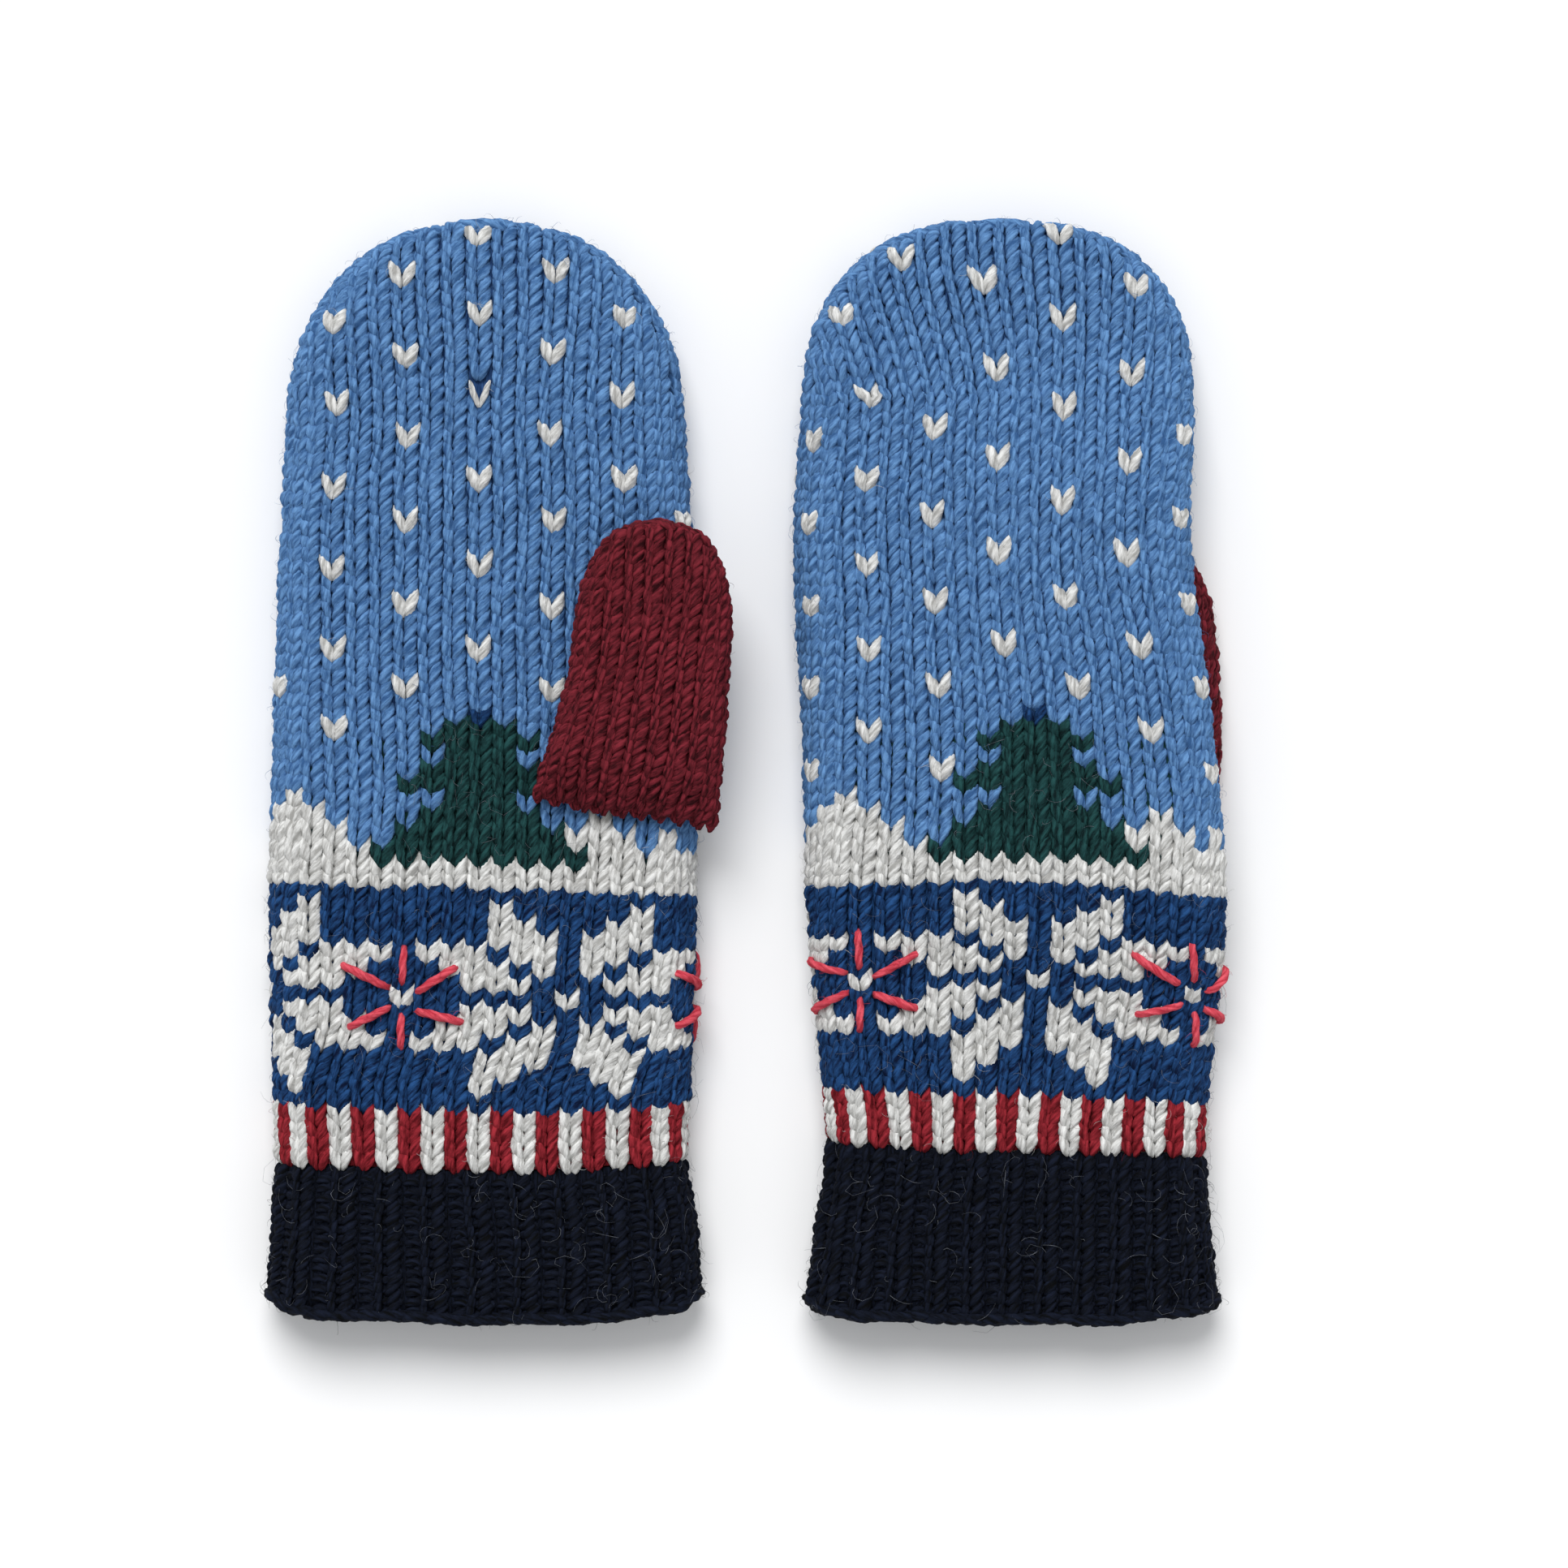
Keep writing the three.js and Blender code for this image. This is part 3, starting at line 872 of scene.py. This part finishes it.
# Each ray: where it starts and where it ends, across and up from the middle of the flower.
FLOWER_RAYS = [
    ((0, 3.5), (-0.3, 12.6)),
    ((0.2, -4), (0.4, -12.6)),
    ((3.7, 1.3), (14, 7.6)),
    ((3.8, -3.2), (14, -7)),
    ((-3.5, 2.6), (-15.4, 7)),
    ((-3, -2.4), (-14.6, -7.6)),
]
RAY_YARN = 1.05


def flower(tube, column, seed):
    """Six straight stitches of thick yarn round one white stitch."""
    u = np.linspace(0, 1, 13)
    rays = []
    s0, a0, _ = column.at(np.array([FLOWER_ROW]))
    for start, end in FLOWER_RAYS:
        start, end = np.array(start), np.array(end) + rng.normal(0, 0.5, 2)
        run = start + (end - start) * u[:, None]
        around, s = a0 + run[:, 0], s0 + run[:, 1]
        across, up = wander(around, s, seed)
        skin, normal = tube.skin_and_normal(around + across, s + up)
        outset = 0.6 - 2.3 * np.abs(2 * u - 1) ** 5
        plump = RAY_YARN * (1 + rng.normal(0, 0.06)) * (0.8 + 0.2 * np.sin(math.pi * u))
        if abs(end[0]) < 3:
            plump = plump * 0.85
        rays.append((skin + outset[:, None] * normal, normal, plump))
    return [np.array([ray[i] for ray in rays]) for i in range(3)]


def hairs(strands, count, length, curl, thickness=0.045, rise=(0.08, 0.6)):
    """Fine fibres that stand out of the strands, as closed three-sided slivers."""
    parts = strands.parts
    sizes = np.array([len(p[0]) for p in parts])
    owner = rng.choice(len(parts), size=count, p=sizes / sizes.sum())
    starts, outs, alongs = [], [], []
    for index in owner:
        centre, normal, thick = parts[index]
        leg = rng.integers(len(centre))
        ring = rng.integers(2, centre.shape[1] - 2)
        tangent = unit(centre[leg, ring + 1] - centre[leg, ring - 1])
        side = np.cross(tangent, normal[leg, ring])
        tilt = rng.uniform(-1.1, 1.1)
        out = math.cos(tilt) * normal[leg, ring] + math.sin(tilt) * side
        starts.append(centre[leg, ring] + out * thick[leg, ring] * 0.9)
        outs.append(out)
        spin = rng.uniform(0, math.tau)
        alongs.append(math.cos(spin) * tangent + math.sin(spin) * side)
    starts, outs, alongs = np.array(starts), np.array(outs), np.array(alongs)
    rings = 6
    u = np.linspace(0, 1, rings)[None, :, None]
    size = (length * rng.uniform(0.4, 1.5, count))[:, None, None]
    sideways = np.cross(outs, alongs)[:, None]
    turn = rng.normal(0, curl, (count, 1, 1)) * u
    line = (np.cos(turn) * alongs[:, None] + np.sin(turn) * sideways) * u
    line = line + outs[:, None] * rng.uniform(*rise, (count, 1, 1)) * np.sin(u * 2.6)
    centre = starts[:, None] + size * line
    thick = np.broadcast_to(thickness * (1 - 0.6 * u[..., 0]), (count, rings))
    normal = np.broadcast_to(outs[:, None] + 0.01, centre.shape)
    return strand_mesh(centre, normal, thick, sides=3)


# ---- the two mittens ------------------------------------------------------------------


def middle_x(node):
    low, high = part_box(node)
    return (low.x + high.x) / 2 / MM


CAST_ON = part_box("right_cuff")[0].y / MM
THUMB_Y = CAST_ON + THUMB_BASE

MITTENS = [
    {
        "side": "right",
        "outline": RIGHT_HAND,
        "heights": RIGHT_HEIGHTS,
        "drape": None,
        # height, how many wales the tree's middle lies right of the centre, how much wider
        # the wales lie on the upper face than on the lower, how far they are pulled left
        "lean": [
            (50, -1.02, 0, 0), (58, -1, 0, 0), (66, -0.6, 0, 0), (72, -0.33, 0, 0),
            (84, -0.32, -0.02, 0), (130, -0.08, 0.02, 0), (200, -0.25, 0.06, 0),
        ],  # fmt: skip
        # wales whose rows lie higher: their middle, reach to the left and right, how much
        # higher, and between which heights that sets in
        "stretched": [(-40, 20, 20, -1.6, 150, 235), (17, 18, 18, 1.6, 150, 235)],
        # towards the tip the wales spread from this place by this share
        "fan": (-6, 0.09),
        "tip_stretch": 0.97,
        # height, how much further up the rows lie at the left and at the right edge
        "bow": [
            (0, 3.4, 3.4), (40, 2.9, 3.2), (60, 2.6, 1.2), (84, 2.2, -0.8), (107, 2, -2.2),
            (150, 1.2, -0.6), (200, 0, 0),
        ],  # fmt: skip
        "star_at": 4,
        "first_white": 1,
        "ribs": 22,
        "thumb_outline": RIGHT_THUMB,
        "thumb_z": THICKNESS + GAP,
        "flowers": {"right_flower_palm": -3, "right_flower_edge": 11.7, "under": 25},
        "loose": (0, 67),
        "seed": 1.3,
    },
    {
        "side": "left",
        "outline": LEFT_HAND,
        "heights": LEFT_HEIGHTS,
        "drape": OVER_THUMB,
        "lean": [
            (48, 0.45, -0.035, 0), (60, 0.58, 0, 0.3), (84, 0.88, 0.09, 0.95),
            (106, 0.97, 0.065, 0.6), (130, 1.07, 0.04, 0), (178, 1.15, -0.03, 0),
        ],  # fmt: skip
        "stretched": [(16, 58, 34, 9.6, 148, 252)],
        "fan": (26.5, 0.26),
        "tip_stretch": 1.06,
        "bow": [
            (0, 3.4, 3.4), (41, 4.4, -0.6), (58, 2.6, -2.6), (84, -0.6, -4.8), (107, -1, -4.2),
            (130, -0.3, -1.6), (150, 0, 0),
        ],  # fmt: skip
        "star_at": 0,
        "first_white": 0,
        "ribs": 26,
        "thumb_outline": LEFT_THUMB,
        "thumb_z": 0,
        "flowers": {"left_flower_inner": -7, "left_flower_outer": 7, "under": 21},
        "loose": None,
        "seed": 4.1,
    },
]

REPLACED = {
    "stripes_red": "stripe_band",
    "stars_royal": "star_band",
    "snow": "snow_band",
    "sky_1": "hand",
}
BACKING = {  # thin cloth behind the stitches: piece, lower and upper row
    "stripes_red": (13.6, 17.6),
    "stars_royal": (17.62, 32.6),
    "snow": (32.62, 34.5),
    "tree": (34.52, 43.5),
}
BACKING_DEPTH = 2.75
BACKING_WALL = 0.3
FLOATS_AND_SHADE_START = 43.52  # row where the yarn behind the sky begins; its colour is darkened as painted shade in the gaps
CUFF_CLOTH = (1.2, 13.5, 2.6, 0.4)  # lowest height, last row, depth and wall of its cloth
THUMB_CLOTH = (1.5, 2.4, 0.3)  # lowest height, depth and wall
THUMB_STEPS = 40
THUMB_LINING_DEPTH = 2.9
HAIR_CURL = 0.9
HAIR_LENGTH = 2.2
HAIRS_PER_LEG = 0.8
FEWEST_HAIRS = 60
HAIRS = {"cuff": (900, 2.4), "flowers": (120, 2), "thumb": (300, 2.2)}  # number, length
STRAY = (5, 2.2, 0.045, (0.1, 0.25))  # long pale fibres that lie on the dark yarns


def yarn_mesh(strands):
    """One mesh of all the strands of a piece."""
    return strand_mesh(*[np.concatenate(x) for x in zip(*strands.parts)])


def make_cuff(m, tube, body):
    """The ribbed cuff in three pieces. Returns its outer strands."""
    side = m["side"]
    outer, inner, bumps = cuff(tube, m["ribs"], m["seed"])
    start, last_row, depth, wall = CUFF_CLOTH
    cloth = shell_mesh(tube, start, tube.height_of(last_row), depth, wall)
    fuzz = hairs(outer, *HAIRS["cuff"], HAIR_CURL)
    meshes = [strand_mesh(*part) for part in outer.parts] + [fuzz]
    piece = build(side + "_cuff_knit", meshes, MATERIALS["navy"], body)
    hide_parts(side + "_cuff")
    meshes = [strand_mesh(*part) for part in inner.parts]
    build(side + "_cuff_inside", meshes, MATERIALS["navy"], body)
    meshes = [strand_mesh(*part) for part in bumps.parts] + [cloth]
    build(side + "_cuff_furrows", meshes, MATERIALS["navy"], body)
    return outer


def make_hand(m, hand, body):
    """The knitting above the cuff, one piece per yarn and band. Returns the strands."""
    side, half_round = m["side"], HAND_WALES // 2
    bins = {}
    for wale in range(HAND_WALES):
        column = Column(hand, wale)
        stitch = (wale + half_round) % HAND_WALES - half_round
        rows = chart(side, stitch, m["star_at"], m["first_white"])
        loose = ()
        if m["loose"] and m["loose"][0] == wale:
            loose = m["loose"][1:]
        add_stitches(bins, hand, column, rows, FIRST_STRIPE, shape_of, m["seed"], loose)
    bins[("sky_4", "blue")].add(*tip_stitches(hand))
    for (name, yarn), strands in bins.items():
        meshes = [yarn_mesh(strands)]
        if name in BACKING:
            start, end = (hand.height_of(row) for row in BACKING[name])
            meshes.append(shell_mesh(hand, start, end, BACKING_DEPTH, BACKING_WALL))
        count = FEWEST_HAIRS + int(strands.count() * HAIRS_PER_LEG)
        meshes.append(hairs(strands, count, HAIR_LENGTH, HAIR_CURL))
        piece = build(f"{side}_{name}", meshes, MATERIALS[yarn], body)
        if name in REPLACED:
            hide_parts(f"{side}_{REPLACED[name]}")
    return bins


def make_flowers(m, hand, body):
    rays = [flower(hand, Column(hand, at), m["seed"]) for at in m["flowers"].values()]
    strands = Strands()
    for ray in rays:
        strands.add(*ray)
    fuzz = [strand_mesh(*part) for part in strands.parts]
    fuzz.append(hairs(strands, *HAIRS["flowers"], HAIR_CURL))
    piece = build(m["side"] + "_flowers", fuzz, MATERIALS["coral"], body)
    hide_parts(*[node for node in m["flowers"] if node != "under"])


def make_lining(side, hand, body):
    lining = shell_mesh(hand, LINING_START, LENGTH, LINING_DEPTH, FLEECE, rough=0.12)
    piece = build(side + "_fleece", [lining], FLEECE_MATERIAL, body)
    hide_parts(side + "_lining")


def make_mitten(m):
    side = m["side"]
    body, thumb_body = side + "_mitten", side + "_thumb"
    x = middle_x(side + "_cuff")
    size = THICKNESS, LENGTH, TIP_START[side], TIP_POWER[side]
    hand = Tube(
        (x, CAST_ON, 0), m["outline"], *size, HAND_WALES, HAND_RIM,
        drape=m["drape"], lean=m["lean"], heights=m["heights"], stretched=m["stretched"],
        fan=m["fan"], bow=m["bow"], tip_stretch=m["tip_stretch"],
    )  # fmt: skip
    bare = Tube(
        (x, CAST_ON, 0), m["outline"], *size, m["ribs"], HAND_RIM,
        drape=m["drape"], heights=m["heights"], bow=m["bow"],
    )  # fmt: skip

    outer = make_cuff(m, bare, body)
    bins = make_hand(m, hand, body)
    lint = [hairs(bins[("stars_royal", "royal")], 300, *STRAY)]
    lint.append(hairs(bins[("tree", "green")], 70, *STRAY))
    lint.append(hairs(outer, 220, *STRAY))
    build(side + "_lint", lint, MATERIALS["lint"], body)
    # shell of carried yarn behind the sky, in a darker blue that paints the shade in the gaps
    # between the stitches
    floats_and_painted_shade = shell_mesh(hand, hand.height_of(FLOATS_AND_SHADE_START), LENGTH, BACKING_DEPTH, BACKING_WALL)
    build(side + "_floats", [floats_and_painted_shade], MATERIALS["floats_and_painted_shade"], body)
    make_flowers(m, hand, body)
    make_lining(side, hand, body)
    make_thumb(m, x)


def make_thumb(m, x):
    side, seed = m["side"], m["seed"] + 0.7
    thumb = Tube(
        (x, THUMB_Y, m["thumb_z"]), m["thumb_outline"], THUMB_THICKNESS, THUMB_LENGTH,
        THUMB_TIP_START, THUMB_TIP_POWER, THUMB_WALES, THUMB_RIM,
    )  # fmt: skip
    bins = {}
    for wale in range(THUMB_WALES):
        rows = [("thumb", "burgundy")] * THUMB_ROWS
        add_stitches(bins, thumb, Column(thumb, wale), rows, THUMB_FIRST, shape_of, seed)
    strands = bins[("thumb", "burgundy")]
    strands.add(*tip_stitches(thumb))
    knit = [yarn_mesh(strands)]
    start, depth, wall = THUMB_CLOTH
    knit.append(shell_mesh(thumb, start, THUMB_LENGTH, depth, wall, around_steps=THUMB_STEPS))
    knit.append(hairs(strands, *HAIRS["thumb"], HAIR_CURL))
    piece = build(side + "_thumb_knit", knit, MATERIALS["burgundy"], None)
    bend(piece)
    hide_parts(side + "_thumb")
    lining = shell_mesh(
        thumb, THUMB_LINING_START, THUMB_LENGTH, THUMB_LINING_DEPTH, THUMB_FLEECE,
        around_steps=THUMB_STEPS, rough=0.06,
    )  # fmt: skip
    piece = build(side + "_thumb_fleece", [lining], FLEECE_MATERIAL, None)
    bend(piece)
    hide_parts(side + "_thumb_lining")


def bend(piece):
    """Bakes the piece's placement into its mesh."""
    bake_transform(piece)


for mitten in MITTENS:
    make_mitten(mitten)

# ---- floor, light and camera ----------------------------------------------------------

FLOOR_HALF = 4.0
PICTURE_WIDTH = 0.3864  # what the square picture spans at the height of the outline
PICTURE_MIDDLE = (0.0091, -0.0035)
OUTLINE_HEIGHT = 0.012
CAMERA_HEIGHT = 1.6
SENSOR = 36


def plain(name, colour, roughness):
    material, _, shader = new_material(name)
    set_inputs(shader, Base_Color=colour, Roughness=roughness)
    return material


def add_floor():
    h = FLOOR_HALF
    mesh = bpy.data.meshes.new("floor")
    mesh.from_pydata([(-h, -h, 0), (h, -h, 0), (h, h, 0), (-h, h, 0)], [], [(0, 1, 2, 3)])
    mesh.materials.append(plain("floor", (0.9, 0.9, 0.905, 1), 0.7))
    floor = bpy.data.objects.new("floor", mesh)
    bpy.context.scene.collection.objects.link(floor)


def add_light(name, kind, energy, direction, spread, colour=(1, 1, 1)):
    data = bpy.data.lights.new(name, kind)
    data.energy = energy
    data.angle = math.radians(spread)
    data.color = colour
    light = bpy.data.objects.new(name, data)
    light.rotation_euler = Vector(direction).to_track_quat("-Z", "Y").to_euler()
    bpy.context.scene.collection.objects.link(light)


def add_world(strength):
    world = bpy.data.worlds.new("studio")
    world.use_nodes = True
    background = world.node_tree.nodes["Background"]
    background.inputs["Color"].default_value = (0.97, 0.985, 1, 1)
    background.inputs["Strength"].default_value = strength
    bpy.context.scene.world = world


def add_camera():
    data = bpy.data.cameras.new("camera")
    data.sensor_width = SENSOR
    distance = CAMERA_HEIGHT - OUTLINE_HEIGHT
    data.lens = SENSOR * distance / PICTURE_WIDTH
    camera = bpy.data.objects.new("camera", data)
    camera.location = (*PICTURE_MIDDLE, CAMERA_HEIGHT)
    bpy.context.scene.collection.objects.link(camera)
    bpy.context.scene.camera = camera


add_floor()
add_light("softbox", "SUN", 2.3, (0.12, -0.75, -1), 35)
add_world(0.62)
add_camera()
bpy.context.scene.view_settings.view_transform = "Standard"
